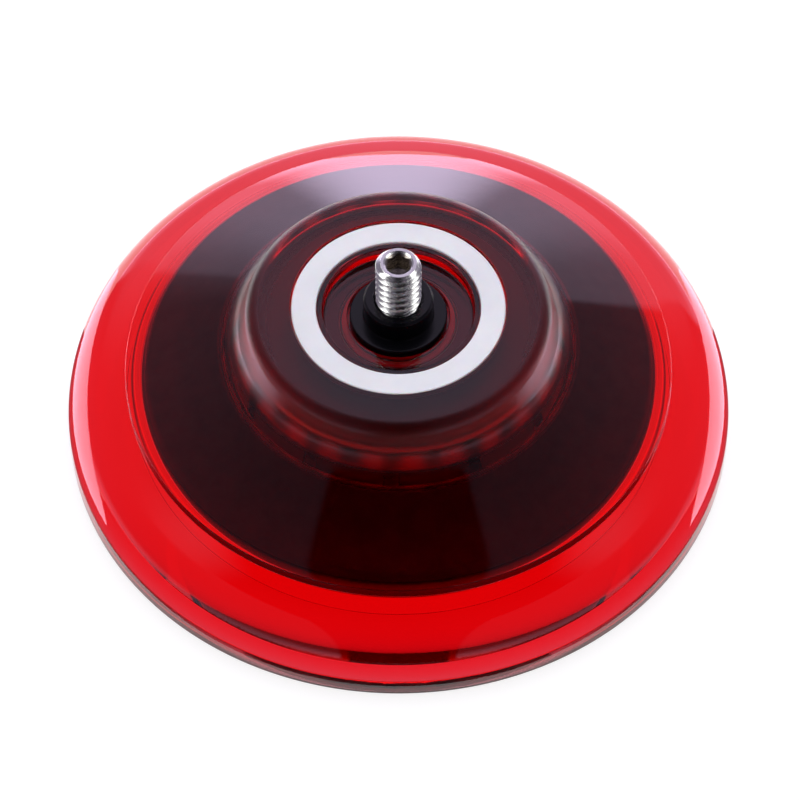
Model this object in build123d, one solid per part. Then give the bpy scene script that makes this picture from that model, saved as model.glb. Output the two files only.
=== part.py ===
from build123d import *
import math
import os

# One half of a take-apart ball-bearing yo-yo (butterfly / diabolo-like flare),
# lying on its outer rim with the string-gap side and the axle facing up.
# Millimetres, +Z up along the axle, origin on the axle axis in the plane that the rim rests on.

# ---------------------------------------------------------------- driving dimensions
# overall
R_MAX = 30.48          # widest radius of the cup
PAD_TOP = 16.60        # top face of the response pad above the rest plane
# hub, bearing and axle (size C bearing: 6.35 bore, 12.70 outside, 4.76 wide; 8-32 UNC axle)
POST_R = 3.165         # bearing seat radius (6.33 diameter in a 6.35 bore)
POST_TOP = 18.02
SHOULDER_R = 4.39      # shoulder that the bearing's inner ring stops against
SHOULDER_Z = 15.69
SPACER_BOTTOM = 12.20
HUB_BORE_R = 2.105     # bore through spacer and nut around the 8-32 axle
AXLE_R = 2.055         # 8-32 major radius as cut
AXLE_TOP = 23.06
AXLE_LEN = 15.88       # 5/8 in set screw
SOCKET_AF = 1.984      # 5/64 in hex socket
SOCKET_DEPTH = 2.0
AXLE_CHAMFER = 0.42
NUT_AF = 7.94          # 8-32 small-pattern nut, 5/16 in across flats
NUT_THICK = 3.10
NUT_TOP = 10.20
# string-gap face of the cup
FLOOR_Z = 15.30        # floor of the bearing recess
WELL_R = 4.60          # well around the spacer shoulder
WELL_PRESS_R = 4.395   # lower part of the well, which grips the spacer
WELL_STEP_Z = 14.60
RECESS_R = 6.85        # bearing recess wall
LIP_R = 7.35           # thin lip between recess and pad groove
LIP_TOP = 16.42
GROOVE_R = 9.74        # outer wall of the pad groove
GROOVE_Z = 15.38
FACE_Z = 16.74         # flat annulus around the pad
FACE_EDGE = (13.50, FACE_Z)      # virtual corner of the face and the steep wall
WALL_FOOT = (14.63, 13.17)       # virtual corner of the steep wall and the slope
SLOPE_END = (24.92, 8.21)        # where the slope stops, above a small step
STEP_FOOT_Z = 7.32               # foot of that step
RIM_TILT = 20.0                  # degrees, rim surface just outside the step
RIM_ROUND = 4.81                 # big rounding into the widest line
LIP_IN = 29.92                   # inner edge of the narrow lip that the cup rests on
DISH_IN, DISH_Z = 27.06, 1.06    # where the dished underside levels out, and its height
# underside of the cup
WALL_T = 2.00                    # wall thickness under the slope
CAV_R, CAV_MOUTH_R = 24.02, 23.42  # slightly undercut cavity that the side cap snaps into
CAV_ROUND = 2.57                 # fillet between the cavity wall and its ceiling
CEIL_Z = 13.30                   # ceiling under the face
NECK_IN_R = 13.30                # inside of the neck
HUB_CEIL_Z, HUB_CEIL_R = 14.10, 8.00   # raised ceiling under the bearing recess
SKIRT_RI, SKIRT_RO, SKIRT_BOTTOM = 14.10, 15.20, 7.60   # ring wall below the foot of the neck
BOSS_R = 5.20
BOSS_BOTTOM = 6.95
RIBS = 12
RIB_T = 1.20
RIB_START = -92.5                # azimuth of the first rib
# response pad
PAD_RI, PAD_RO = 7.40, 9.64
ADHESIVE_T = 0.12
# side cap
CAP_R, CAP_MOUTH_R = 23.97, 23.37
CAP_ROUND = 2.57
CAP_EDGE_Z = 3.07                # lower edge of the cap's wall
CAP_TOP_GAP = 0.02               # clearance to the ceiling of the cavity
CAP_DISC_TOP, CAP_DISC_BOTTOM = 6.20, 4.60
# collar around the boss
COLLAR_RI, COLLAR_RO = 5.30, 13.15
COLLAR_BOTTOM, COLLAR_TOP = 7.60, 13.22


def closed_profile(points):
    """Face in the XZ plane from (r, z) or (r, z, fillet) corners, with tangent arcs at the filleted ones."""
    pts = [(p[0], p[1], p[2] if len(p) > 2 else 0.0) for p in points]
    n = len(pts)
    ins, outs, mids = [], [], []
    for i in range(n):
        x, z, f = pts[i]
        if f <= 0:
            ins.append((x, z)); outs.append((x, z)); mids.append(None)
            continue
        ax, az = pts[i - 1][0] - x, pts[i - 1][1] - z
        bx, bz = pts[(i + 1) % n][0] - x, pts[(i + 1) % n][1] - z
        la, lb = math.hypot(ax, az), math.hypot(bx, bz)
        ax, az, bx, bz = ax / la, az / la, bx / lb, bz / lb
        ang = math.acos(max(-1, min(1, ax * bx + az * bz)))
        d = f / math.tan(ang / 2)
        if d > la or d > lb:
            raise ValueError("fillet too large at %s" % (pts[i],))
        ins.append((x + ax * d, z + az * d))
        outs.append((x + bx * d, z + bz * d))
        hx, hz = ax + bx, az + bz
        lh = math.hypot(hx, hz)
        dist = f / math.sin(ang / 2) - f
        mids.append((x + hx / lh * dist, z + hz / lh * dist))
    edges = []
    for i in range(n):
        if mids[i] is not None:
            edges.append(ThreePointArc(Vector(ins[i][0], 0, ins[i][1]), Vector(mids[i][0], 0, mids[i][1]),
                                       Vector(outs[i][0], 0, outs[i][1])))
        a, b = outs[i], ins[(i + 1) % n]
        if math.hypot(a[0] - b[0], a[1] - b[1]) > 1e-6:
            edges.append(Line(Vector(a[0], 0, a[1]), Vector(b[0], 0, b[1])))
    wire = Wire(edges)
    return Face(wire)


def lathe(points):
    return revolve(closed_profile(points), axis=Axis.Z)


def hex_prism(af, z0, z1, turn=0.0):
    r = af / math.sqrt(3)
    sk = Plane.XY.offset(z0) * Rot(0, 0, turn) * RegularPolygon(r, 6)
    return extrude(sk, z1 - z0)


# ---------------------------------------------------------------- cup
slope_tan = (WALL_FOOT[1] - SLOPE_END[1]) / (SLOPE_END[0] - WALL_FOOT[0])
wall_drop = WALL_T * math.sqrt(1 + slope_tan ** 2)


def ceiling(r):
    return WALL_FOOT[1] - wall_drop - (r - WALL_FOOT[0]) * slope_tan


rim_corner_z = STEP_FOOT_Z - math.tan(math.radians(RIM_TILT)) * (R_MAX - SLOPE_END[0])

cup = lathe([
    (2.30, 12.20), (WELL_PRESS_R, 12.20), (WELL_PRESS_R, WELL_STEP_Z), (WELL_R, WELL_STEP_Z),
    (WELL_R, FLOOR_Z, 0.12), (RECESS_R - 0.05, FLOOR_Z, 0.25), (RECESS_R, LIP_TOP, 0.10),
    (LIP_R, LIP_TOP, 0.10), (LIP_R, GROOVE_Z), (GROOVE_R, GROOVE_Z), (GROOVE_R, FACE_Z, 0.10),
    (FACE_EDGE[0], FACE_EDGE[1], 1.50), (WALL_FOOT[0], WALL_FOOT[1], 2.00),
    (SLOPE_END[0], SLOPE_END[1], 0.10), (SLOPE_END[0], STEP_FOOT_Z, 0.08),
    (R_MAX, rim_corner_z, RIM_ROUND), (R_MAX, 0.0, 0.17), (LIP_IN, 0.0, 0.08), (DISH_IN, DISH_Z, 0.10),
    (CAV_MOUTH_R, DISH_Z, 0.05), (CAV_R, ceiling(CAV_R), CAV_ROUND),
    (SKIRT_RO, ceiling(SKIRT_RO), 0.40), (SKIRT_RO - 0.05, SKIRT_BOTTOM, 0.25), (SKIRT_RI + 0.05, SKIRT_BOTTOM, 0.25),
    (SKIRT_RI, ceiling(SKIRT_RI), 0.30), (NECK_IN_R + 0.05, ceiling(NECK_IN_R + 0.05), 0.15), (NECK_IN_R, CEIL_Z, 0.20),
    (HUB_CEIL_R, CEIL_Z, 0.20), (HUB_CEIL_R - 0.10, HUB_CEIL_Z, 0.20), (BOSS_R + 0.05, HUB_CEIL_Z, 0.20),
    (BOSS_R - 0.10, BOSS_BOTTOM, 0.30), (2.30, BOSS_BOTTOM),
])

# ribs between the inside of the neck and the ring wall
rib_face = Face(Wire.make_polygon([(13.22, 0, 7.90), (14.50, 0, 7.90), (14.50, 0, 11.30), (13.90, 0, 13.00),
                                   (13.60, 0, 13.70), (13.22, 0, 13.70)]))
rib = extrude(rib_face, amount=RIB_T / 2, dir=(0, 1, 0), both=True)
for i in range(RIBS):
    cup += Rot(0, 0, RIB_START + i * 360.0 / RIBS) * rib
cup -= hex_prism(NUT_AF + 0.10, BOSS_BOTTOM - 1.0, NUT_TOP, 0.0)

# ---------------------------------------------------------------- bearing spacer
spacer = lathe([
    (HUB_BORE_R, SPACER_BOTTOM), (SHOULDER_R, SPACER_BOTTOM), (SHOULDER_R, SHOULDER_Z, 0.16),
    (POST_R, SHOULDER_Z), (POST_R, POST_TOP - 0.22), (POST_R - 0.22, POST_TOP), (HUB_BORE_R + 0.20, POST_TOP),
    (HUB_BORE_R, POST_TOP - 0.20),
])

# ---------------------------------------------------------------- axle nut
nut = hex_prism(NUT_AF, NUT_TOP - NUT_THICK, NUT_TOP, 0.0)
corner = NUT_AF / math.sqrt(3)
nut &= lathe([(0, NUT_TOP - NUT_THICK), (corner - 0.45, NUT_TOP - NUT_THICK), (corner + 0.02, NUT_TOP - NUT_THICK + 0.27),
              (corner + 0.02, NUT_TOP - 0.27), (corner - 0.45, NUT_TOP), (0, NUT_TOP)])
nut -= lathe([(0, NUT_TOP - NUT_THICK - 1), (HUB_BORE_R + 0.25 + 1, NUT_TOP - NUT_THICK - 1),
              (HUB_BORE_R, NUT_TOP - NUT_THICK + 0.25), (HUB_BORE_R, NUT_TOP - 0.25),
              (HUB_BORE_R + 1.25, NUT_TOP + 1.0), (0, NUT_TOP + 1.0)])

# ---------------------------------------------------------------- axle (set screw)
axle_bottom = AXLE_TOP - AXLE_LEN
axle = lathe([(0, axle_bottom), (AXLE_R - 0.55, axle_bottom), (AXLE_R, axle_bottom + 0.55),
              (AXLE_R, AXLE_TOP - AXLE_CHAMFER), (AXLE_R - AXLE_CHAMFER, AXLE_TOP), (0, AXLE_TOP)])
axle -= hex_prism(SOCKET_AF, AXLE_TOP - SOCKET_DEPTH, AXLE_TOP + 1, 0.0)
axle -= lathe([(0, AXLE_TOP - SOCKET_DEPTH - 0.50), (0.92, AXLE_TOP - SOCKET_DEPTH + 0.01), (0, AXLE_TOP - SOCKET_DEPTH + 0.01)])

# ---------------------------------------------------------------- response pad and its adhesive
pad = lathe([(PAD_RI, GROOVE_Z + ADHESIVE_T), (PAD_RO, GROOVE_Z + ADHESIVE_T), (PAD_RO, PAD_TOP, 0.14), (PAD_RI, PAD_TOP, 0.14)])
adhesive = lathe([(PAD_RI + 0.05, GROOVE_Z), (PAD_RO - 0.05, GROOVE_Z), (PAD_RO - 0.05, GROOVE_Z + ADHESIVE_T),
                  (PAD_RI + 0.05, GROOVE_Z + ADHESIVE_T)])

# ---------------------------------------------------------------- side cap
cap = lathe([
    (0, CAP_DISC_TOP), (0, CAP_DISC_BOTTOM), (16.60, CAP_DISC_BOTTOM, 0.40), (16.95, ceiling(16.95) - 1.80, 0.50),
    (21.60, ceiling(21.60) - 2.00, 0.80), (21.90, CAP_EDGE_Z, 0.15), (CAP_MOUTH_R, CAP_EDGE_Z, 0.10),
    (CAP_R, ceiling(CAP_R) - CAP_TOP_GAP, CAP_ROUND), (15.70, ceiling(15.70) - CAP_TOP_GAP, 0.30), (15.55, CAP_DISC_TOP, 0.20),
])

# ---------------------------------------------------------------- collar pressed on the boss, inside the neck
collar = lathe([
    (COLLAR_RI, COLLAR_BOTTOM, 0.20), (COLLAR_RO - 0.10, COLLAR_BOTTOM, 0.30), (COLLAR_RO, COLLAR_TOP, 0.10),
    (HUB_CEIL_R - 0.10, COLLAR_TOP, 0.10), (HUB_CEIL_R - 0.20, HUB_CEIL_Z - 0.05, 0.20), (COLLAR_RI, HUB_CEIL_Z - 0.05, 0.20),
])

PARTS = {
    "cup_shell": cup,
    "bearing_spacer": spacer,
    "axle_nut": nut,
    "axle_set_screw": axle,
    "response_pad": pad,
    "pad_adhesive_ring": adhesive,
    "side_cap": cap,
    "hub_collar": collar,
}

os.makedirs("parts", exist_ok=True)
for name, shape in PARTS.items():
    solids = shape.solids()
    print(name, "solids", len(solids), "valid", all(s.is_valid for s in solids), "volume %.1f" % sum(s.volume for s in solids))
    shape.label = name
    export_step(shape, "parts/%s.step" % name)
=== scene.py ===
import math

import bmesh
import bpy
from mathutils import Matrix, Vector


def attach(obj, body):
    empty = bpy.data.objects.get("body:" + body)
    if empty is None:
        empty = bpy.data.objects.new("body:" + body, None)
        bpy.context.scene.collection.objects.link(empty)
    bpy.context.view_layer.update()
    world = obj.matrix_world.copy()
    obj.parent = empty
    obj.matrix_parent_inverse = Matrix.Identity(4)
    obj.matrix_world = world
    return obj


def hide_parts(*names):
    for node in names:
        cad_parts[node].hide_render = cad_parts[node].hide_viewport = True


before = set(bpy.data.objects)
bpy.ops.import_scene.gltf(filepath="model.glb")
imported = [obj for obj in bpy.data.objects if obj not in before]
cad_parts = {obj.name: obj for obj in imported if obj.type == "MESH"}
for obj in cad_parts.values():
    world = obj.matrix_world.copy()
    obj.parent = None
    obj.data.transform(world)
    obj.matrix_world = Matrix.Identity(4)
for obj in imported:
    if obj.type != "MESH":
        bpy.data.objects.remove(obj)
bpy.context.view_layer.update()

MM = 0.001
SEGMENTS = 360
CORE_ROUGH = 0.40
NECK_ROUGH = 0.32
# grey of the painted glow on the cap face that lies under the slope
CAP_FACE_GLOW = 0.09

# ------------------------------------------------------------------ dimensions, as in the CAD model (mm)
R_MAX = 30.48
PAD_TOP = 16.60
POST_R, POST_TOP = 3.165, 18.02
SHOULDER_R, SHOULDER_Z = 4.39, 15.69
SPACER_BOTTOM = 12.20
HUB_BORE_R = 2.105
AXLE_R, AXLE_TOP, AXLE_LEN = 2.055, 23.06, 15.88
THREAD_PITCH, THREAD_DEPTH = 25.4 / 32, 0.46
SOCKET_AF, SOCKET_DEPTH, AXLE_CHAMFER = 1.984, 2.0, 0.42
NUT_AF, NUT_THICK, NUT_TOP = 7.94, 3.10, 10.20
FLOOR_Z, WELL_R, WELL_PRESS_R, WELL_STEP_Z = 15.30, 4.60, 4.395, 14.60
RECESS_R, LIP_R, LIP_TOP = 6.85, 7.35, 16.42
GROOVE_R, GROOVE_Z, FACE_Z = 9.74, 15.38, 16.74
FACE_EDGE, WALL_FOOT = (13.50, 16.74), (14.63, 13.17)
SLOPE_END, STEP_FOOT_Z = (24.92, 8.21), 7.32
RIM_TILT, RIM_ROUND = 20.0, 4.81
LIP_IN, DISH_IN, DISH_Z = 29.92, 27.06, 1.06
WALL_T, CAV_R, CAV_MOUTH_R, CEIL_Z = 2.00, 24.02, 23.42, 13.30
NECK_IN_R = 13.30
CAV_ROUND = 2.57
SKIRT_RI, SKIRT_RO, SKIRT_BOTTOM = 14.10, 15.20, 7.60
BOSS_R, BOSS_BOTTOM = 5.20, 6.95
HUB_CEIL_Z, HUB_CEIL_R = 14.10, 8.00
RIBS, RIB_T, RIB_START = 12, 1.20, -92.5
PAD_RI, PAD_RO, ADHESIVE_T = 7.40, 9.64, 0.12
CAP_R, CAP_MOUTH_R, CAP_ROUND, CAP_EDGE_Z = 23.97, 23.37, 2.57, 3.07
CAP_TOP_GAP, CAP_DISC_TOP, CAP_DISC_BOTTOM = -0.015, 6.20, 4.60   # pressed against the slope, no air between
COLLAR_RI, COLLAR_RO, COLLAR_BOTTOM, COLLAR_TOP = 5.30, 13.15, 7.60, 13.22

slope_tan = (WALL_FOOT[1] - SLOPE_END[1]) / (SLOPE_END[0] - WALL_FOOT[0])
wall_drop = WALL_T * math.sqrt(1 + slope_tan ** 2)
rim_corner_z = STEP_FOOT_Z - math.tan(math.radians(RIM_TILT)) * (R_MAX - SLOPE_END[0])


def ceiling(r):
    return WALL_FOOT[1] - wall_drop - (r - WALL_FOOT[0]) * slope_tan


# ------------------------------------------------------------------ mesh tools
def rounded(points, step=4.0, longest=1.3, closed=True):
    """(r, z) polyline in mm from (r, z, fillet) corners: arcs in steps of `step` degrees, straight runs cut to `longest`."""
    pts = [(p[0], p[1], p[2] if len(p) > 2 else 0.0) for p in points]
    n = len(pts)
    raw = []
    for i, (x, z, f) in enumerate(pts):
        if f <= 0 or (not closed and i in (0, n - 1)):
            raw.append((x, z))
            continue
        ax, az = pts[i - 1][0] - x, pts[i - 1][1] - z
        bx, bz = pts[(i + 1) % n][0] - x, pts[(i + 1) % n][1] - z
        la, lb = math.hypot(ax, az), math.hypot(bx, bz)
        ax, az, bx, bz = ax / la, az / la, bx / lb, bz / lb
        ang = math.acos(max(-1.0, min(1.0, ax * bx + az * bz)))
        d = f / math.tan(ang / 2)
        p0, p1 = (x + ax * d, z + az * d), (x + bx * d, z + bz * d)
        hx, hz = ax + bx, az + bz
        lh = math.hypot(hx, hz)
        c = f / math.sin(ang / 2)
        cx, cz = x + hx / lh * c, z + hz / lh * c
        a0 = math.atan2(p0[1] - cz, p0[0] - cx)
        a1 = math.atan2(p1[1] - cz, p1[0] - cx)
        da = (a1 - a0 + math.pi) % (2 * math.pi) - math.pi
        m = max(2, int(abs(da) / math.radians(step)) + 1)
        for k in range(m + 1):
            a = a0 + da * k / m
            raw.append((cx + f * math.cos(a), cz + f * math.sin(a)))
    out = []
    count = len(raw) if closed else len(raw) - 1
    for i in range(count):
        a, b = raw[i], raw[(i + 1) % len(raw)]
        length = math.hypot(a[0] - b[0], a[1] - b[1])
        if length < 1e-6:
            continue
        m = max(1, int(math.ceil(length / longest)))
        for k in range(m):
            out.append((a[0] + (b[0] - a[0]) * k / m, a[1] + (b[1] - a[1]) * k / m))
    if not closed:
        out.append(raw[-1])
    return out


def lathe_bmesh(profile, segments=SEGMENTS, closed=True):
    """Turned solid from a closed (r, z) loop in mm; points on the axis become one vertex."""
    bm = bmesh.new()
    rings = []
    for r, z in profile:
        if r < 1e-6:
            rings.append([bm.verts.new((0, 0, z * MM))])
        else:
            rings.append([bm.verts.new((r * MM * math.cos(2 * math.pi * k / segments),
                                        r * MM * math.sin(2 * math.pi * k / segments), z * MM)) for k in range(segments)])
    count = len(rings) if closed else len(rings) - 1
    for i in range(count):
        a, b = rings[i], rings[(i + 1) % len(rings)]
        if len(a) == 1 and len(b) == 1:
            continue
        for k in range(segments):
            k2 = (k + 1) % segments
            if len(a) == 1:
                bm.faces.new((a[0], b[k2], b[k]))
            elif len(b) == 1:
                bm.faces.new((a[k], a[k2], b[0]))
            else:
                bm.faces.new((a[k], a[k2], b[k2], b[k]))
    bmesh.ops.recalc_face_normals(bm, faces=bm.faces)
    return bm


def to_object(bm, name, sharp=28.0):
    me = bpy.data.meshes.new(name)
    bm.to_mesh(me)
    bm.free()
    return mesh_object(me, name, sharp)


def mesh_object(me, name, sharp=28.0):
    me.polygons.foreach_set("use_smooth", [True] * len(me.polygons))
    me.set_sharp_from_angle(angle=math.radians(sharp))
    obj = bpy.data.objects.new(name, me)
    bpy.context.scene.collection.objects.link(obj)
    return obj


def prism(points, height, thick_axis="Z"):
    """Closed straight prism in mm from a convex outline. thick_axis Y: outline in XZ, centred thickness along Y."""
    bm = bmesh.new()
    if thick_axis == "Z":
        low = [bm.verts.new((x * MM, y * MM, height[0] * MM)) for x, y in points]
        high = [bm.verts.new((x * MM, y * MM, height[1] * MM)) for x, y in points]
    else:
        low = [bm.verts.new((x * MM, -height / 2 * MM, z * MM)) for x, z in points]
        high = [bm.verts.new((x * MM, height / 2 * MM, z * MM)) for x, z in points]
    n = len(points)
    bm.faces.new(low)
    bm.faces.new(list(reversed(high)))
    for k in range(n):
        bm.faces.new((low[k], low[(k + 1) % n], high[(k + 1) % n], high[k]))
    bmesh.ops.recalc_face_normals(bm, faces=bm.faces)
    return bm


def scratch_object(bm, name):
    me = bpy.data.meshes.new(name)
    bm.to_mesh(me)
    bm.free()
    obj = bpy.data.objects.new(name, me)
    bpy.context.scene.collection.objects.link(obj)
    return obj


def boolean(target, tool, operation):
    """Replaces target's mesh by the boolean of the two, and removes tool."""
    mod = target.modifiers.new("cut", "BOOLEAN")
    mod.operation = operation
    mod.solver = "MANIFOLD"
    mod.object = tool
    bpy.context.view_layer.update()
    deps = bpy.context.evaluated_depsgraph_get()
    me = bpy.data.meshes.new_from_object(target.evaluated_get(deps))
    target.modifiers.clear()
    old = target.data
    target.data = me
    bpy.data.meshes.remove(old)
    bpy.data.objects.remove(tool)
    return target


def polish(obj, sharp=28.0):
    me = obj.data
    me.polygons.foreach_set("use_smooth", [True] * len(me.polygons))
    me.set_sharp_from_angle(angle=math.radians(sharp))
    return obj


# ------------------------------------------------------------------ camera
PHOTO_ELEVATION = 52.85
DISTANCE = 0.3834
el = math.radians(PHOTO_ELEVATION)
aim = Vector((0, 0, PAD_TOP * MM))
forward = Vector((0, math.cos(el), -math.sin(el)))
cam_data = bpy.data.cameras.new("camera")
cam_data.sensor_width = 36.0
cam_data.lens = 192.375
cam_data.clip_start = 0.01
cam_data.clip_end = 20.0
camera = bpy.data.objects.new("camera", cam_data)
bpy.context.scene.collection.objects.link(camera)
camera.location = aim - forward * DISTANCE
pitch = math.atan(93.06 / 4275.0)
yaw = math.atan(2.6 / 4275.0)
camera.rotation_euler = (math.pi / 2 - el - pitch, 0, -yaw)
bpy.context.scene.camera = camera

# ------------------------------------------------------------------ node helpers
def new_material(name):
    mat = bpy.data.materials.new(name)
    mat.use_nodes = True
    tree = mat.node_tree
    bsdf = tree.nodes["Principled BSDF"]
    return mat, tree, bsdf


def node(tree, kind, **props):
    made = tree.nodes.new(kind)
    for key, value in props.items():
        if key in made.inputs:
            made.inputs[key].default_value = value
        else:
            setattr(made, key, value)
    return made


def ramp(tree, stops):
    made = tree.nodes.new("ShaderNodeValToRGB")
    els = made.color_ramp.elements
    while len(els) < len(stops):
        els.new(0.5)
    for e, (pos, value) in zip(els, stops):
        e.position = pos
        e.color = value if len(value) == 4 else (*value, 1)
    return made


# ------------------------------------------------------------------ cup material: translucent red polycarbonate
def cup_material():
    mat, tree, bsdf = new_material("red_polycarbonate")
    link = tree.links.new
    bsdf.inputs["Base Color"].default_value = (1.0, 1.0, 1.0, 1)
    bsdf.inputs["Transmission Weight"].default_value = 1.0
    bsdf.inputs["IOR"].default_value = 1.585
    coord = node(tree, "ShaderNodeTexCoord")
    # moulded surface: very slight handling haze in the roughness, fine dust-sized marks in the bump
    haze = node(tree, "ShaderNodeTexNoise", Scale=140.0, Detail=6.0, Roughness=0.6)
    link(coord.outputs["Object"], haze.inputs["Vector"])
    rough = ramp(tree, [(0.42, (0.008,) * 3), (0.72, (0.020,) * 3)])
    link(haze.outputs["Fac"], rough.inputs["Fac"])
    # the core side of the moulding is satin: everything under the neck and the slope
    sep = node(tree, "ShaderNodeSeparateXYZ")
    link(coord.outputs["Object"], sep.inputs[0])
    flat = node(tree, "ShaderNodeCombineXYZ")
    link(sep.outputs["X"], flat.inputs["X"])
    link(sep.outputs["Y"], flat.inputs["Y"])
    radius = node(tree, "ShaderNodeVectorMath", operation="LENGTH")
    link(flat.outputs[0], radius.inputs[0])
    drop = node(tree, "ShaderNodeMath", operation="MULTIPLY")
    link(radius.outputs["Value"], drop.inputs[0])
    drop.inputs[1].default_value = slope_tan
    # half way through the wall: slope line lowered by one millimetre, and a level under the neck
    line = node(tree, "ShaderNodeMath", operation="SUBTRACT")
    line.inputs[0].default_value = (WALL_FOOT[1] + WALL_FOOT[0] * slope_tan - 1.2) * MM
    link(drop.outputs[0], line.inputs[1])
    level = node(tree, "ShaderNodeMath", operation="MINIMUM")
    link(line.outputs[0], level.inputs[0])
    level.inputs[1].default_value = 14.0 * MM
    under = node(tree, "ShaderNodeMath", operation="LESS_THAN")
    link(sep.outputs["Z"], under.inputs[0])
    link(level.outputs[0], under.inputs[1])
    inside = node(tree, "ShaderNodeMath", operation="LESS_THAN")
    link(radius.outputs["Value"], inside.inputs[0])
    inside.inputs[1].default_value = 15.6 * MM
    core = node(tree, "ShaderNodeMath", operation="MULTIPLY")
    link(under.outputs[0], core.inputs[0])
    link(inside.outputs[0], core.inputs[1])
    satin = node(tree, "ShaderNodeMix", data_type="FLOAT")
    link(core.outputs[0], satin.inputs["Factor"])
    link(rough.outputs["Color"], satin.inputs[2])
    satin.inputs[3].default_value = CORE_ROUGH
    # the neck itself is lightly blasted, up to the edge of the face
    neck_r = node(tree, "ShaderNodeMapRange", interpolation_type="SMOOTHSTEP")
    neck_r.inputs["From Min"].default_value = 12.3 * MM
    neck_r.inputs["From Max"].default_value = 12.8 * MM
    link(radius.outputs["Value"], neck_r.inputs["Value"])
    neck_out = node(tree, "ShaderNodeMapRange", interpolation_type="SMOOTHSTEP")
    neck_out.inputs["From Min"].default_value = 15.2 * MM
    neck_out.inputs["From Max"].default_value = 16.2 * MM
    neck_out.inputs["To Min"].default_value = 1.0
    neck_out.inputs["To Max"].default_value = 0.0
    link(radius.outputs["Value"], neck_out.inputs["Value"])
    neck = node(tree, "ShaderNodeMath", operation="MULTIPLY")
    link(neck_r.outputs["Result"], neck.inputs[0])
    link(neck_out.outputs["Result"], neck.inputs[1])
    outer = node(tree, "ShaderNodeMath", operation="SUBTRACT")
    outer.inputs[0].default_value = 1.0
    link(under.outputs[0], outer.inputs[1])
    neck_face = node(tree, "ShaderNodeMath", operation="MULTIPLY")
    link(neck.outputs[0], neck_face.inputs[0])
    link(outer.outputs[0], neck_face.inputs[1])
    blasted = node(tree, "ShaderNodeMix", data_type="FLOAT")
    link(neck_face.outputs[0], blasted.inputs["Factor"])
    link(satin.outputs[0], blasted.inputs[2])
    blasted.inputs[3].default_value = NECK_ROUGH
    link(blasted.outputs[0], bsdf.inputs["Roughness"])
    fine = node(tree, "ShaderNodeTexNoise", Scale=900.0, Detail=3.0, Roughness=0.5)
    link(coord.outputs["Object"], fine.inputs["Vector"])
    bump = node(tree, "ShaderNodeBump", Strength=0.05, Distance=0.00002)
    link(fine.outputs["Fac"], bump.inputs["Height"])
    link(bump.outputs["Normal"], bsdf.inputs["Normal"])
    absorb = node(tree, "ShaderNodeVolumeAbsorption", Color=(0.992, 0.0, 0.16, 1), Density=1100.0)
    out = [n for n in tree.nodes if n.type == "OUTPUT_MATERIAL"][0]
    link(absorb.outputs["Volume"], out.inputs["Volume"])
    return mat


def satin_red_material():
    mat, tree, bsdf = new_material("red_polycarbonate_satin")
    link = tree.links.new
    coord = node(tree, "ShaderNodeTexCoord")
    cloud = node(tree, "ShaderNodeTexNoise", Scale=700.0, Detail=4.0, Roughness=0.6)
    link(coord.outputs["Object"], cloud.inputs["Vector"])
    tone = ramp(tree, [(0.3, (0.86, 0.02, 0.05)), (0.7, (0.95, 0.03, 0.07))])
    link(cloud.outputs["Fac"], tone.inputs["Fac"])
    # painted glow and painted shade: two bright lobes to every gap between ribs with dark painted shade between them,
    # uneven from one to the next; the boss root is plain
    sep = node(tree, "ShaderNodeSeparateXYZ")
    link(coord.outputs["Object"], sep.inputs[0])
    turn = node(tree, "ShaderNodeMath", operation="ARCTAN2")
    link(sep.outputs["Y"], turn.inputs[0])
    link(sep.outputs["X"], turn.inputs[1])
    count = node(tree, "ShaderNodeMath", operation="MULTIPLY_ADD")
    link(turn.outputs[0], count.inputs[0])
    count.inputs[1].default_value = 2.0 * RIBS
    count.inputs[2].default_value = -math.radians(2 * RIBS * (RIB_START + 90.0 / RIBS))
    wave = node(tree, "ShaderNodeMath", operation="COSINE")
    link(count.outputs[0], wave.inputs[0])
    patch = node(tree, "ShaderNodeTexNoise", Scale=150.0, Detail=2.0, Roughness=0.5)
    link(coord.outputs["Object"], patch.inputs["Vector"])
    uneven = node(tree, "ShaderNodeMath", operation="MULTIPLY_ADD")
    link(patch.outputs["Fac"], uneven.inputs[0])
    uneven.inputs[1].default_value = 4.4
    uneven.inputs[2].default_value = -2.3
    total = node(tree, "ShaderNodeMath", operation="ADD")
    link(wave.outputs[0], total.inputs[0])
    link(uneven.outputs[0], total.inputs[1])
    painted_glow_lobes = node(tree, "ShaderNodeMapRange", interpolation_type="SMOOTHSTEP")
    painted_glow_lobes.inputs["From Min"].default_value = -1.7
    painted_glow_lobes.inputs["From Max"].default_value = 1.9
    link(total.outputs[0], painted_glow_lobes.inputs["Value"])
    flat = node(tree, "ShaderNodeCombineXYZ")
    link(sep.outputs["X"], flat.inputs["X"])
    link(sep.outputs["Y"], flat.inputs["Y"])
    radius = node(tree, "ShaderNodeVectorMath", operation="LENGTH")
    link(flat.outputs[0], radius.inputs[0])
    boss = node(tree, "ShaderNodeMath", operation="LESS_THAN")
    link(radius.outputs["Value"], boss.inputs[0])
    boss.inputs[1].default_value = 8.0 * MM
    either = node(tree, "ShaderNodeMath", operation="MAXIMUM")
    link(painted_glow_lobes.outputs["Result"], either.inputs[0])
    link(boss.outputs[0], either.inputs[1])
    shade = node(tree, "ShaderNodeMix", data_type="RGBA")
    link(either.outputs[0], shade.inputs["Factor"])
    # dark red of the painted shade between the glow lobes
    shade.inputs[6].default_value = (0.075, 0.002, 0.008, 1)
    link(tone.outputs["Color"], shade.inputs[7])
    link(shade.outputs[2], bsdf.inputs["Base Color"])
    rough = ramp(tree, [(0.3, (0.45,) * 3), (0.7, (0.60,) * 3)])
    link(cloud.outputs["Fac"], rough.inputs["Fac"])
    link(rough.outputs["Color"], bsdf.inputs["Roughness"])
    bump = node(tree, "ShaderNodeBump", Strength=0.3, Distance=0.00003)
    link(cloud.outputs["Fac"], bump.inputs["Height"])
    link(bump.outputs["Normal"], bsdf.inputs["Normal"])
    return mat


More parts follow.
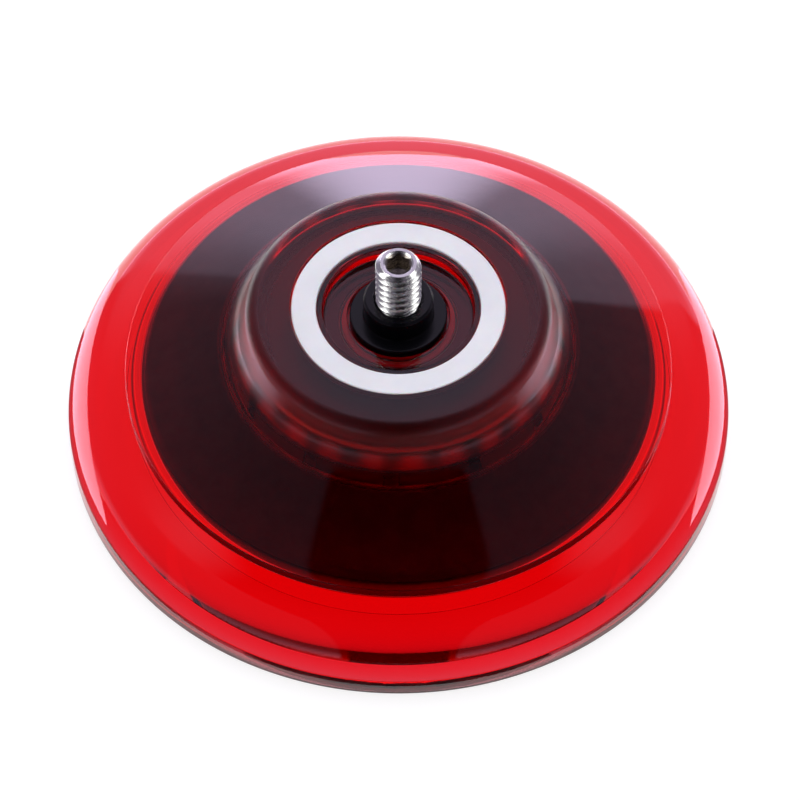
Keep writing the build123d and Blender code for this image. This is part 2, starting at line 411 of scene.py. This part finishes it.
def black_plastic_material():
    mat, tree, bsdf = new_material("black_abs")
    link = tree.links.new
    coord = node(tree, "ShaderNodeTexCoord")
    grain = node(tree, "ShaderNodeTexNoise", Scale=2600.0, Detail=4.0, Roughness=0.65)
    link(coord.outputs["Object"], grain.inputs["Vector"])
    tone = ramp(tree, [(0.3, (0.0030, 0.0030, 0.0036)), (0.75, (0.0060, 0.0060, 0.0068))])
    link(grain.outputs["Fac"], tone.inputs["Fac"])
    link(tone.outputs["Color"], bsdf.inputs["Base Color"])
    rough = ramp(tree, [(0.3, (0.46,) * 3), (0.8, (0.60,) * 3)])
    bsdf.inputs["Specular IOR Level"].default_value = 0.25
    link(grain.outputs["Fac"], rough.inputs["Fac"])
    link(rough.outputs["Color"], bsdf.inputs["Roughness"])
    bump = node(tree, "ShaderNodeBump", Strength=0.25, Distance=0.00002)
    link(grain.outputs["Fac"], bump.inputs["Height"])
    link(bump.outputs["Normal"], bsdf.inputs["Normal"])
    return mat


def cap_material():
    mat = black_plastic_material()
    mat.name = "black_abs_cap"
    tree = mat.node_tree
    link = tree.links.new
    bsdf = tree.nodes["Principled BSDF"]
    coord = node(tree, "ShaderNodeTexCoord")
    sep = node(tree, "ShaderNodeSeparateXYZ")
    link(coord.outputs["Object"], sep.inputs[0])
    flat = node(tree, "ShaderNodeCombineXYZ")
    link(sep.outputs["X"], flat.inputs["X"])
    link(sep.outputs["Y"], flat.inputs["Y"])
    radius = node(tree, "ShaderNodeVectorMath", operation="LENGTH")
    link(flat.outputs[0], radius.inputs[0])
    drop = node(tree, "ShaderNodeMath", operation="MULTIPLY")
    link(radius.outputs["Value"], drop.inputs[0])
    drop.inputs[1].default_value = slope_tan
    height = node(tree, "ShaderNodeMath", operation="ADD")
    link(sep.outputs["Z"], height.inputs[0])
    link(drop.outputs[0], height.inputs[1])
    # the matt face that lies against the slope is paler grey: painted glow, standing in for the faint red light
    # scattered in the plastic above it
    face = node(tree, "ShaderNodeMath", operation="GREATER_THAN")
    link(height.outputs[0], face.inputs[0])
    face.inputs[1].default_value = (WALL_FOOT[1] - wall_drop + WALL_FOOT[0] * slope_tan - 0.25) * MM
    face_glow_mottle = node(tree, "ShaderNodeTexNoise", Scale=420.0, Detail=5.0, Roughness=0.6)
    link(coord.outputs["Object"], face_glow_mottle.inputs["Vector"])
    pale = ramp(tree, [(0.3, (CAP_FACE_GLOW * 0.85,) * 3), (0.7, (CAP_FACE_GLOW * 1.15,) * 3)])
    link(face_glow_mottle.outputs["Fac"], pale.inputs["Fac"])
    old = bsdf.inputs["Base Color"].links[0].from_socket
    mix = node(tree, "ShaderNodeMix", data_type="RGBA")
    link(face.outputs[0], mix.inputs["Factor"])
    link(old, mix.inputs[6])
    link(pale.outputs["Color"], mix.inputs[7])
    link(mix.outputs[2], bsdf.inputs["Base Color"])
    return mat


def anodised_material():
    mat, tree, bsdf = new_material("black_anodised_aluminium")
    link = tree.links.new
    coord = node(tree, "ShaderNodeTexCoord")
    # turning marks: rings around the axis and along it, with a fine uneven grain
    sep = node(tree, "ShaderNodeSeparateXYZ")
    link(coord.outputs["Object"], sep.inputs[0])
    flat = node(tree, "ShaderNodeCombineXYZ")
    link(sep.outputs["X"], flat.inputs["X"])
    link(sep.outputs["Y"], flat.inputs["Y"])
    radius = node(tree, "ShaderNodeVectorMath", operation="LENGTH")
    link(flat.outputs[0], radius.inputs[0])
    path = node(tree, "ShaderNodeMath", operation="ADD")
    link(radius.outputs["Value"], path.inputs[0])
    link(sep.outputs["Z"], path.inputs[1])
    line = node(tree, "ShaderNodeCombineXYZ")
    link(path.outputs[0], line.inputs["X"])
    marks = node(tree, "ShaderNodeTexNoise", Scale=16000.0, Detail=3.0, Roughness=0.7)
    link(line.outputs[0], marks.inputs["Vector"])
    tone = ramp(tree, [(0.3, (0.0012, 0.0012, 0.0018)), (0.75, (0.0030, 0.0032, 0.0046))])
    link(marks.outputs["Fac"], tone.inputs["Fac"])
    link(tone.outputs["Color"], bsdf.inputs["Base Color"])
    rough = ramp(tree, [(0.25, (0.16,) * 3), (0.8, (0.28,) * 3)])
    link(marks.outputs["Fac"], rough.inputs["Fac"])
    link(rough.outputs["Color"], bsdf.inputs["Roughness"])
    bsdf.inputs["Metallic"].default_value = 0.0
    bsdf.inputs["IOR"].default_value = 1.42
    bump = node(tree, "ShaderNodeBump", Strength=0.35, Distance=0.00001)
    link(marks.outputs["Fac"], bump.inputs["Height"])
    link(bump.outputs["Normal"], bsdf.inputs["Normal"])
    return mat


def steel_material(name, tint, low, high, scale, socket=None):
    mat, tree, bsdf = new_material(name)
    link = tree.links.new
    coord = node(tree, "ShaderNodeTexCoord")
    stretch = node(tree, "ShaderNodeMapping")
    stretch.inputs["Scale"].default_value = (1.0, 1.0, 6.0)
    link(coord.outputs["Object"], stretch.inputs["Vector"])
    grain = node(tree, "ShaderNodeTexNoise", Scale=scale, Detail=5.0, Roughness=0.6)
    link(stretch.outputs["Vector"], grain.inputs["Vector"])
    tone = ramp(tree, [(0.3, tuple(c * 0.86 for c in tint)), (0.7, tint)])
    link(grain.outputs["Fac"], tone.inputs["Fac"])
    link(tone.outputs["Color"], bsdf.inputs["Base Color"])
    if socket:
        # painted shade: darker, browner metal in the socket recess, everything closer to the axis than the socket's
        # mouth
        sep = node(tree, "ShaderNodeSeparateXYZ")
        link(coord.outputs["Object"], sep.inputs[0])
        flat = node(tree, "ShaderNodeCombineXYZ")
        link(sep.outputs["X"], flat.inputs["X"])
        link(sep.outputs["Y"], flat.inputs["Y"])
        radius = node(tree, "ShaderNodeVectorMath", operation="LENGTH")
        link(flat.outputs[0], radius.inputs[0])
        wall = node(tree, "ShaderNodeMapRange", interpolation_type="SMOOTHSTEP")
        wall.inputs["From Min"].default_value = 1.16 * MM
        wall.inputs["From Max"].default_value = 1.22 * MM
        link(radius.outputs["Value"], wall.inputs["Value"])
        mix = node(tree, "ShaderNodeMix", data_type="RGBA")
        link(wall.outputs["Result"], mix.inputs["Factor"])
        mix.inputs[6].default_value = (*socket, 1)
        link(tone.outputs["Color"], mix.inputs[7])
        link(mix.outputs[2], bsdf.inputs["Base Color"])
    bsdf.inputs["Metallic"].default_value = 1.0
    rough = ramp(tree, [(0.3, (low,) * 3), (0.75, (high,) * 3)])
    link(grain.outputs["Fac"], rough.inputs["Fac"])
    link(rough.outputs["Color"], bsdf.inputs["Roughness"])
    bump = node(tree, "ShaderNodeBump", Strength=0.25, Distance=0.00001)
    link(grain.outputs["Fac"], bump.inputs["Height"])
    link(bump.outputs["Normal"], bsdf.inputs["Normal"])
    return mat


def silicone_material():
    mat, tree, bsdf = new_material("white_silicone")
    link = tree.links.new
    coord = node(tree, "ShaderNodeTexCoord")
    cloud = node(tree, "ShaderNodeTexNoise", Scale=260.0, Detail=4.0, Roughness=0.55)
    link(coord.outputs["Object"], cloud.inputs["Vector"])
    tone = ramp(tree, [(0.3, (0.82, 0.84, 0.86)), (0.7, (0.88, 0.90, 0.92))])
    link(cloud.outputs["Fac"], tone.inputs["Fac"])
    link(tone.outputs["Color"], bsdf.inputs["Base Color"])
    grain = node(tree, "ShaderNodeTexNoise", Scale=3500.0, Detail=4.0, Roughness=0.6)
    link(coord.outputs["Object"], grain.inputs["Vector"])
    rough = ramp(tree, [(0.3, (0.50,) * 3), (0.7, (0.62,) * 3)])
    link(grain.outputs["Fac"], rough.inputs["Fac"])
    link(rough.outputs["Color"], bsdf.inputs["Roughness"])
    bsdf.inputs["Subsurface Weight"].default_value = 0.25
    bsdf.inputs["Subsurface Scale"].default_value = 0.0006
    bsdf.inputs["IOR"].default_value = 1.42
    bump = node(tree, "ShaderNodeBump", Strength=0.3, Distance=0.00002)
    link(grain.outputs["Fac"], bump.inputs["Height"])
    link(bump.outputs["Normal"], bsdf.inputs["Normal"])
    return mat


def adhesive_material():
    mat, tree, bsdf = new_material("transfer_adhesive")
    link = tree.links.new
    coord = node(tree, "ShaderNodeTexCoord")
    cloud = node(tree, "ShaderNodeTexNoise", Scale=900.0, Detail=4.0, Roughness=0.6)
    link(coord.outputs["Object"], cloud.inputs["Vector"])
    tone = ramp(tree, [(0.3, (0.62, 0.60, 0.52)), (0.7, (0.74, 0.72, 0.64))])
    link(cloud.outputs["Fac"], tone.inputs["Fac"])
    link(tone.outputs["Color"], bsdf.inputs["Base Color"])
    bsdf.inputs["Roughness"].default_value = 0.45
    return mat


RED = cup_material()
RED_SATIN = satin_red_material()
BLACK = black_plastic_material()
CAP_BLACK = cap_material()
ANODISED = anodised_material()
# the socket colour is painted shade inside the hex recess
STAINLESS = steel_material("stainless_steel", (0.87, 0.88, 0.85), 0.20, 0.30, 900.0, socket=(0.34, 0.31, 0.27))
ZINC = steel_material("zinc_plated_steel", (0.66, 0.66, 0.63), 0.22, 0.38, 700.0)
SILICONE = silicone_material()
ADHESIVE = adhesive_material()

# ------------------------------------------------------------------ cup
cup_profile = rounded([
    (2.30, 12.20), (WELL_PRESS_R, 12.20), (WELL_PRESS_R, WELL_STEP_Z), (WELL_R, WELL_STEP_Z),
    (WELL_R, FLOOR_Z, 0.12), (RECESS_R - 0.05, FLOOR_Z, 0.25), (RECESS_R, LIP_TOP, 0.10),
    (LIP_R, LIP_TOP, 0.10), (LIP_R, GROOVE_Z), (GROOVE_R, GROOVE_Z), (GROOVE_R, FACE_Z, 0.10),
    (FACE_EDGE[0], FACE_EDGE[1], 1.50), (WALL_FOOT[0], WALL_FOOT[1], 2.00),
    (SLOPE_END[0], SLOPE_END[1], 0.10), (SLOPE_END[0], STEP_FOOT_Z, 0.08),
    (R_MAX, rim_corner_z, RIM_ROUND), (R_MAX, 0.0, 0.17), (LIP_IN, 0.0, 0.08), (DISH_IN, DISH_Z, 0.10),
    (CAV_MOUTH_R, DISH_Z, 0.05), (CAV_R, ceiling(CAV_R), CAV_ROUND),
    (SKIRT_RO, ceiling(SKIRT_RO), 0.40), (SKIRT_RO - 0.05, SKIRT_BOTTOM, 0.25), (SKIRT_RI + 0.05, SKIRT_BOTTOM, 0.25),
    (SKIRT_RI, ceiling(SKIRT_RI), 0.30), (NECK_IN_R + 0.05, ceiling(NECK_IN_R + 0.05), 0.15), (NECK_IN_R, CEIL_Z, 0.20),
    (HUB_CEIL_R, CEIL_Z, 0.20), (HUB_CEIL_R - 0.10, HUB_CEIL_Z, 0.20), (BOSS_R + 0.05, HUB_CEIL_Z, 0.20),
    (BOSS_R - 0.10, BOSS_BOTTOM, 0.30), (2.30, BOSS_BOTTOM),
], step=3.0)
cup = scratch_object(lathe_bmesh(cup_profile), "cup_shell_moulding")
ribs = bmesh.new()
rib_outline = [(13.22, 7.90), (14.50, 7.90), (14.50, 11.30), (13.90, 13.00), (13.60, 13.70), (13.22, 13.70)]
for i in range(RIBS):
    one = prism(rib_outline, RIB_T, "Y")
    bmesh.ops.rotate(one, verts=one.verts, cent=(0, 0, 0), matrix=Matrix.Rotation(math.radians(RIB_START + i * 360.0 / RIBS), 3, "Z"))
    temp = bpy.data.meshes.new("rib")
    one.to_mesh(temp)
    one.free()
    tool = bpy.data.objects.new("rib", temp)
    bpy.context.scene.collection.objects.link(tool)
    boolean(cup, tool, "UNION")
pocket_r = (NUT_AF + 0.10) / math.sqrt(3)
hexagon = [(pocket_r * math.cos(math.radians(60 * k)), pocket_r * math.sin(math.radians(60 * k))) for k in range(6)]
boolean(cup, scratch_object(prism(hexagon, (BOSS_BOTTOM - 1.0, NUT_TOP)), "pocket"), "DIFFERENCE")
polish(cup)
cup.data.materials.clear()
cup.data.materials.append(RED)
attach(cup, "half")
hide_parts("cup_shell")

# satin webs between the rib roots, in the bay between the collar and the ring wall, with painted glow lobes and painted
# shade in their red, and the root of the boss
roots = bmesh.new()


def satin_ring(outline, segments):
    for k in range(len(outline)):
        (r0, z0), (r1, z1) = outline[k], outline[(k + 1) % len(outline)]
        for j in range(segments):
            a0, a1 = 2 * math.pi * j / segments, 2 * math.pi * (j + 1) / segments
            roots.faces.new([roots.verts.new((r * MM * math.cos(a), r * MM * math.sin(a), z * MM))
                             for r, z, a in ((r0, z0, a0), (r0, z0, a1), (r1, z1, a1), (r1, z1, a0))])


satin_ring(rounded([(13.24, 9.10), (13.80, 9.10, 0.20), (14.02, 11.00, 0.60), (13.84, 12.90, 0.25), (13.33, 12.90, 0.10)], step=15.0), 240)
satin_ring(rounded([(13.24, 7.70, 0.10), (14.00, 7.70, 0.20), (13.80, 8.90, 0.20), (13.24, 8.90, 0.10)], step=15.0), 240)
# satin root of the boss, under the inner edge of the recess floor
liner = rounded([(4.46, 12.40), (5.12, 12.40), (5.14, 14.02, 0.12), (4.66, 14.02, 0.12), (4.46, 13.60, 0.10)], step=15.0)
satin_ring(liner, 128)
bmesh.ops.remove_doubles(roots, verts=roots.verts, dist=1e-7)
bmesh.ops.recalc_face_normals(roots, faces=roots.faces)
root_fillets = to_object(roots, "rib_root_fillets", sharp=60.0)
root_fillets.data.materials.append(RED_SATIN)
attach(root_fillets, "half")

# ------------------------------------------------------------------ side cap
cap_profile = rounded([
    (0, CAP_DISC_TOP), (0, CAP_DISC_BOTTOM), (16.60, CAP_DISC_BOTTOM, 0.40), (16.95, ceiling(16.95) - 1.80, 0.50),
    (21.60, ceiling(21.60) - 2.00, 0.80), (21.90, CAP_EDGE_Z, 0.15), (CAP_MOUTH_R, CAP_EDGE_Z, 0.10),
    (CAP_R, ceiling(CAP_R) - CAP_TOP_GAP, CAP_ROUND), (15.70, ceiling(15.70) - CAP_TOP_GAP, 0.30), (15.55, CAP_DISC_TOP, 0.20),
], step=6.0)
cap = to_object(lathe_bmesh(cap_profile, 256), "side_cap_disc")
cap.data.materials.append(CAP_BLACK)
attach(cap, "half")
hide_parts("side_cap")

# ------------------------------------------------------------------ collar pressed on the boss, under the neck
collar_profile = rounded([
    (COLLAR_RI, COLLAR_BOTTOM, 0.20), (COLLAR_RO - 0.10, COLLAR_BOTTOM, 0.30), (COLLAR_RO, COLLAR_TOP, 0.10),
    (HUB_CEIL_R - 0.10, COLLAR_TOP, 0.10), (HUB_CEIL_R - 0.20, HUB_CEIL_Z - 0.05, 0.20), (COLLAR_RI, HUB_CEIL_Z - 0.05, 0.20),
], step=8.0, longest=0.8)
collar = to_object(lathe_bmesh(collar_profile, 192), "hub_collar_ring")
collar.data.materials.append(BLACK)
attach(collar, "half")
if "hub_collar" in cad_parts:
    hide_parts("hub_collar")

# ------------------------------------------------------------------ bearing spacer
spacer_profile = rounded([
    (HUB_BORE_R, SPACER_BOTTOM), (SHOULDER_R, SPACER_BOTTOM), (SHOULDER_R, SHOULDER_Z, 0.16),
    (POST_R + 0.06, SHOULDER_Z), (POST_R, SHOULDER_Z + 0.06), (POST_R, POST_TOP - 0.22, 0.05), (POST_R - 0.22, POST_TOP, 0.05),
    (HUB_BORE_R + 0.20, POST_TOP), (HUB_BORE_R, POST_TOP - 0.20),
], step=8.0, longest=0.6)
spacer = to_object(lathe_bmesh(spacer_profile, 192), "bearing_spacer_turned")
spacer.data.materials.append(ANODISED)
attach(spacer, "half")
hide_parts("bearing_spacer")

# ------------------------------------------------------------------ response pad
pad_profile = rounded([
    (PAD_RI, GROOVE_Z + ADHESIVE_T), (PAD_RO, GROOVE_Z + ADHESIVE_T), (PAD_RO, PAD_TOP, 0.14), (PAD_RI, PAD_TOP, 0.14),
], step=12.0, longest=0.4)
pad = to_object(lathe_bmesh(pad_profile, 256), "response_pad_ring")
pad.data.materials.append(SILICONE)
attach(pad, "half")
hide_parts("response_pad")


# ------------------------------------------------------------------ axle set screw with a real helical thread
def axle_mesh():
    seg, dz = 144, 0.0331
    bottom = AXLE_TOP - AXLE_LEN
    flat_crest, flat_root = 0.125, 0.20

    def thread(t):
        """radius inside one pitch, t from 0 to 1: crest flat, flank, rounded root, flank"""
        t = abs(((t + 0.5) % 1.0) - 0.5) * 2.0          # 0 at the crest, 1 at the root
        if t < flat_crest:
            return AXLE_R
        if t > 1 - flat_root:
            return AXLE_R - THREAD_DEPTH
        u = (t - flat_crest) / (1 - flat_root - flat_crest)
        u = u * u * (3 - 2 * u) * 0.35 + u * 0.65
        return AXLE_R - THREAD_DEPTH * u

    levels = int(round(AXLE_LEN / dz))
    bm = bmesh.new()
    rings = []
    for i in range(levels + 1):
        z = bottom + AXLE_LEN * i / levels
        envelope = min(AXLE_R, AXLE_R - 0.55 + (z - bottom), AXLE_R - AXLE_CHAMFER + (AXLE_TOP - z))
        ring = []
        for k in range(seg):
            a = 2 * math.pi * k / seg
            r = min(envelope, thread((z / THREAD_PITCH) - k / seg))
            ring.append(bm.verts.new((r * MM * math.cos(a), r * MM * math.sin(a), z * MM)))
        rings.append(ring)
    for a, b in zip(rings, rings[1:]):
        for k in range(seg):
            k2 = (k + 1) % seg
            bm.faces.new((a[k], a[k2], b[k2], b[k]))

    def ring_at(radius, z, hexed=0.0):
        made = []
        for k in range(seg):
            a = 2 * math.pi * k / seg
            local = (a + math.pi / 6) % (math.pi / 3) - math.pi / 6
            hr = (SOCKET_AF / 2) / math.cos(local)
            r = radius if not hexed else hr * hexed
            made.append(bm.verts.new((r * MM * math.cos(a + math.radians(90) * 0), r * MM * math.sin(a), z * MM)))
        return made

    def skin(a, b):
        for k in range(seg):
            k2 = (k + 1) % seg
            bm.faces.new((a[k], a[k2], b[k2], b[k]))

    top = rings[-1]
    inner = ring_at(1.36, AXLE_TOP)
    skin(top, inner)
    mouth = ring_at(1.32, AXLE_TOP - 0.02)
    skin(inner, mouth)
    hex_top = ring_at(0, AXLE_TOP, hexed=1.0)
    for v in hex_top:
        v.co.z -= (1.32 * MM - math.hypot(v.co.x, v.co.y)) * 0.85 + 0.02 * MM
    skin(mouth, hex_top)
    hex_low = ring_at(0, AXLE_TOP - SOCKET_DEPTH, hexed=1.0)
    skin(hex_top, hex_low)
    cone = ring_at(0.90, AXLE_TOP - SOCKET_DEPTH - 0.01)
    skin(hex_low, cone)
    tip = bm.verts.new((0, 0, (AXLE_TOP - SOCKET_DEPTH - 0.48) * MM))
    for k in range(seg):
        bm.faces.new((cone[k], cone[(k + 1) % seg], tip))
    centre = bm.verts.new((0, 0, (bottom + 0.25) * MM))
    for k in range(seg):
        bm.faces.new((rings[0][(k + 1) % seg], rings[0][k], centre))
    bmesh.ops.recalc_face_normals(bm, faces=bm.faces)
    return bm


axle = to_object(axle_mesh(), "axle_set_screw_threaded", sharp=32.0)
axle.data.materials.append(STAINLESS)
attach(axle, "axle")
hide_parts("axle_set_screw")

# ------------------------------------------------------------------ carried-over CAD nodes
for name, mat in (("axle_nut", ZINC), ("pad_adhesive_ring", ADHESIVE)):
    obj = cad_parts[name]
    obj.data.materials.clear()
    obj.data.materials.append(mat)

# ------------------------------------------------------------------ floor
floor_mesh = bpy.data.meshes.new("floor")
s = 0.45
floor_mesh.from_pydata([(-s, -s, -0.00003), (s, -s, -0.00003), (s, s, -0.00003), (-s, s, -0.00003)], [], [(0, 1, 2, 3)])
floor = bpy.data.objects.new("floor", floor_mesh)
bpy.context.scene.collection.objects.link(floor)
mat, tree, bsdf = new_material("pale_floor")
bsdf.inputs["Base Color"].default_value = (0.30, 0.30, 0.31, 1)
bsdf.inputs["Roughness"].default_value = 0.7
bsdf.inputs["Specular IOR Level"].default_value = 0.2
bsdf.inputs["Emission Color"].default_value = (1.0, 1.0, 1.0, 1)
# the sheet is lit from behind and from the sides, so it is brighter there
coord = node(tree, "ShaderNodeTexCoord")
sep = node(tree, "ShaderNodeSeparateXYZ")
tree.links.new(coord.outputs["Object"], sep.inputs[0])
far = node(tree, "ShaderNodeMapRange", interpolation_type="SMOOTHSTEP")
far.inputs["From Min"].default_value = -0.006
far.inputs["From Max"].default_value = 0.020
far.inputs["To Min"].default_value = 0.80
far.inputs["To Max"].default_value = 1.20
tree.links.new(sep.outputs["Y"], far.inputs["Value"])
near_r = node(tree, "ShaderNodeVectorMath", operation="LENGTH")
tree.links.new(coord.outputs["Object"], near_r.inputs[0])
under = node(tree, "ShaderNodeMapRange", interpolation_type="SMOOTHSTEP")
under.inputs["From Min"].default_value = 0.031
under.inputs["From Max"].default_value = 0.036
tree.links.new(near_r.outputs["Value"], under.inputs["Value"])
spread = node(tree, "ShaderNodeMix", data_type="FLOAT")
tree.links.new(under.outputs["Result"], spread.inputs["Factor"])
spread.inputs[2].default_value = 0.80
tree.links.new(far.outputs["Result"], spread.inputs[3])
tree.links.new(spread.outputs[0], bsdf.inputs["Emission Strength"])
floor.data.materials.append(mat)

# the dim studio table around the white sheet, seen only in reflections and through the plastic
table = bmesh.new()
inner_ring, outer_ring = [], []
for k in range(96):
    a = 2 * math.pi * k / 96
    inner = 0.038 + 0.008 * max(0.0, min(1.0, (-math.sin(a) - 0.62) / 0.2))
    inner_ring.append(table.verts.new((inner * math.cos(a), inner * math.sin(a), 0.0002)))
    outer_ring.append(table.verts.new((0.44 * math.cos(a), 0.44 * math.sin(a), 0.0002)))
for k in range(96):
    if math.sin(2 * math.pi * (k + 0.5) / 96) < -0.02:
        table.faces.new((inner_ring[k], outer_ring[k], outer_ring[(k + 1) % 96], inner_ring[(k + 1) % 96]))
cloth_mesh = bpy.data.meshes.new("dim_table")
table.to_mesh(cloth_mesh)
table.free()
cloth = bpy.data.objects.new("dim_table", cloth_mesh)
bpy.context.scene.collection.objects.link(cloth)
mat, tree, bsdf = new_material("table_grey")
bsdf.inputs["Base Color"].default_value = (0.10, 0.10, 0.11, 1)
bsdf.inputs["Roughness"].default_value = 1.0
bsdf.inputs["Specular IOR Level"].default_value = 0.0
cloth.data.materials.append(mat)
cloth.visible_camera = False
cloth.visible_diffuse = False
cloth.visible_shadow = False

# nearer the object the table is dim in surface reflections only; through the plastic the white sheet shows
ring = bmesh.new()
inner_ring, outer_ring = [], []
for k in range(96):
    a = 2 * math.pi * k / 96
    outer = 0.038 + 0.008 * max(0.0, min(1.0, (-math.sin(a) - 0.62) / 0.2)) + 0.0002
    inner_ring.append(ring.verts.new((0.0312 * math.cos(a), 0.0312 * math.sin(a), 0.0002)))
    outer_ring.append(ring.verts.new((outer * math.cos(a), outer * math.sin(a), 0.0002)))
for k in range(96):
    if math.sin(2 * math.pi * (k + 0.5) / 96) < 0.30:
        ring.faces.new((inner_ring[k], outer_ring[k], outer_ring[(k + 1) % 96], inner_ring[(k + 1) % 96]))
ring_mesh = bpy.data.meshes.new("dim_ring")
ring.to_mesh(ring_mesh)
ring.free()
near_cloth = bpy.data.objects.new("dim_ring", ring_mesh)
bpy.context.scene.collection.objects.link(near_cloth)
near_cloth.data.materials.append(mat)
near_cloth.visible_camera = False
near_cloth.visible_diffuse = False
near_cloth.visible_transmission = False
near_cloth.visible_shadow = False

# low bright cards curved round the left and right of the object, seen only in its reflections
for name, first, last in (("card_left", 146, 204), ("card_right", -24, 34)):
    strip = bmesh.new()
    low_edge, high_edge = [], []
    for k in range(first, last + 1, 2):
        a = math.radians(k)
        low_edge.append(strip.verts.new((0.035 * math.cos(a), 0.035 * math.sin(a), 0.0003)))
        high_edge.append(strip.verts.new((0.035 * math.cos(a), 0.035 * math.sin(a), 0.0003 + 0.0072 * math.sqrt(max(0.0, math.sin(math.pi * (k - first) / (last - first)))))))
    for k in range(len(low_edge) - 1):
        strip.faces.new((low_edge[k], low_edge[k + 1], high_edge[k + 1], high_edge[k]))
    card_mesh = bpy.data.meshes.new(name)
    strip.to_mesh(card_mesh)
    strip.free()
    card = bpy.data.objects.new(name, card_mesh)
    bpy.context.scene.collection.objects.link(card)
    mat, tree, bsdf = new_material(name + "_white")
    bsdf.inputs["Base Color"].default_value = (0.0, 0.0, 0.0, 1)
    bsdf.inputs["Specular IOR Level"].default_value = 0.0
    bsdf.inputs["Emission Color"].default_value = (1.0, 0.90, 1.12, 1)
    bsdf.inputs["Emission Strength"].default_value = 3.3
    card.data.materials.append(mat)
    card.visible_camera = False
    card.visible_diffuse = False
    card.visible_transmission = False
    card.visible_shadow = False

# ------------------------------------------------------------------ studio light
world = bpy.data.worlds.new("studio")
bpy.context.scene.world = world
world.use_nodes = True
wt = world.node_tree
wl = wt.links.new
background = wt.nodes["Background"]
direction = wt.nodes.new("ShaderNodeTexCoord")
split = wt.nodes.new("ShaderNodeSeparateXYZ")
wl(direction.outputs["Generated"], split.inputs[0])


def m(op, a, b=None, clamp=False):
    n = wt.nodes.new("ShaderNodeMath")
    n.operation = op
    n.use_clamp = clamp
    for i, v in enumerate((a, b)):
        if v is None:
            continue
        if isinstance(v, (int, float)):
            n.inputs[i].default_value = v
        else:
            wl(v, n.inputs[i])
    return n.outputs[0]


def smooth(value, low, high):
    n = wt.nodes.new("ShaderNodeMapRange")
    n.interpolation_type = "SMOOTHSTEP"
    n.clamp = True
    n.inputs["From Min"].default_value = low
    n.inputs["From Max"].default_value = high
    n.inputs["To Min"].default_value = 0.0
    n.inputs["To Max"].default_value = 1.0
    wl(value, n.inputs["Value"])
    return n.outputs["Result"]


X, Y, Z = split.outputs["X"], split.outputs["Y"], split.outputs["Z"]
absx = m("ABSOLUTE", X)
# side walls of the set: dim, brighter towards the back; the opening in front of the camera is dark
low = m("MULTIPLY", m("MULTIPLY", m("SUBTRACT", 1.0, smooth(Z, 0.06, 0.25)), 0.55), m("SUBTRACT", 1.0, smooth(Y, 0.20, 0.45)))
side = m("ADD", m("ADD", 0.09, m("MULTIPLY", 0.11, smooth(Y, -0.3, 0.6))), low)
gap = smooth(m("SUBTRACT", absx, m("MULTIPLY", 0.55, m("ADD", Y, 0.30, True))), 0.262, 0.288)
front = m("MULTIPLY", side, m("MAXIMUM", gap, smooth(Y, -0.02, 0.12)))
# soft overhead panel towards the back
panel = m("MULTIPLY", m("SUBTRACT", 1.0, smooth(absx, 0.42, 0.60)), smooth(Y, -0.02, 0.20))
over = m("ADD", m("MULTIPLY", front, m("SUBTRACT", 1.0, panel)), m("MULTIPLY", 0.58, panel))
# bright backdrop low behind the object
rise = m("SUBTRACT", 1.0, smooth(Z, 0.10, 0.26))
back = smooth(m("ADD", Y, m("MULTIPLY", 0.078, X)), 0.770, 0.795)
near = m("SUBTRACT", 1.0, smooth(Z, -0.01, 0.055))
glow = m("ADD", 0.72, m("ADD", m("MULTIPLY", 0.5, rise), m("MULTIPLY", 2.9, near)))
light = m("ADD", m("MULTIPLY", over, m("SUBTRACT", 1.0, back)), m("MULTIPLY", glow, back))
wl(light, background.inputs["Strength"])
background.inputs["Color"].default_value = (1.0, 0.86, 1.18, 1)
# the backdrop itself is plain white
plain = wt.nodes.new("ShaderNodeBackground")
plain.inputs["Color"].default_value = (1.0, 1.0, 1.0, 1)
plain.inputs["Strength"].default_value = 1.05
ray = wt.nodes.new("ShaderNodeLightPath")
pick = wt.nodes.new("ShaderNodeMixShader")
wl(ray.outputs["Is Camera Ray"], pick.inputs["Fac"])
wl(background.outputs[0], pick.inputs[1])
wl(plain.outputs[0], pick.inputs[2])
wl(pick.outputs[0], wt.nodes["World Output"].inputs["Surface"])


def area(name, location, target, size, power, glossy=False):
    data = bpy.data.lights.new(name, "AREA")
    data.shape = "RECTANGLE"
    data.size, data.size_y = size
    data.energy = power
    data.color = (1.0, 1.0, 1.0)
    obj = bpy.data.objects.new(name, data)
    bpy.context.scene.collection.objects.link(obj)
    obj.location = location
    obj.rotation_euler = (Vector(target) - Vector(location)).to_track_quat("-Z", "Y").to_euler()
    obj.visible_camera = False
    obj.visible_glossy = glossy
    obj.visible_transmission = glossy
    return obj


area("key_overhead", (0.0, 0.15, 0.9), (0, 0, 0), (0.9, 0.9), 6.0)
area("fill_left", (-0.7, -0.2, 0.5), (0, 0, 0.01), (0.6, 0.6), 0.8)
area("fill_right", (0.7, -0.2, 0.5), (0, 0, 0.01), (0.6, 0.6), 0.8)

metal_only = bpy.data.collections.new("metal_only")
metal_only.objects.link(axle)
for name, x in (("kick_left", -0.55), ("kick_right", 0.55)):
    kick = area(name, (x, -0.10, 0.42), (0, 0, 0.02), (0.30, 0.50), 1.3, glossy=True)
    kick.light_linking.receiver_collection = metal_only

scene = bpy.context.scene
scene.view_settings.view_transform = "Standard"
scene.view_settings.look = "None"
scene.view_settings.exposure = 0.0
scene.cycles.max_bounces = 24
scene.cycles.transmission_bounces = 20
scene.cycles.glossy_bounces = 8
scene.cycles.diffuse_bounces = 4
scene.cycles.caustics_refractive = True
scene.cycles.caustics_reflective = True
scene.cycles.blur_glossy = 0.0
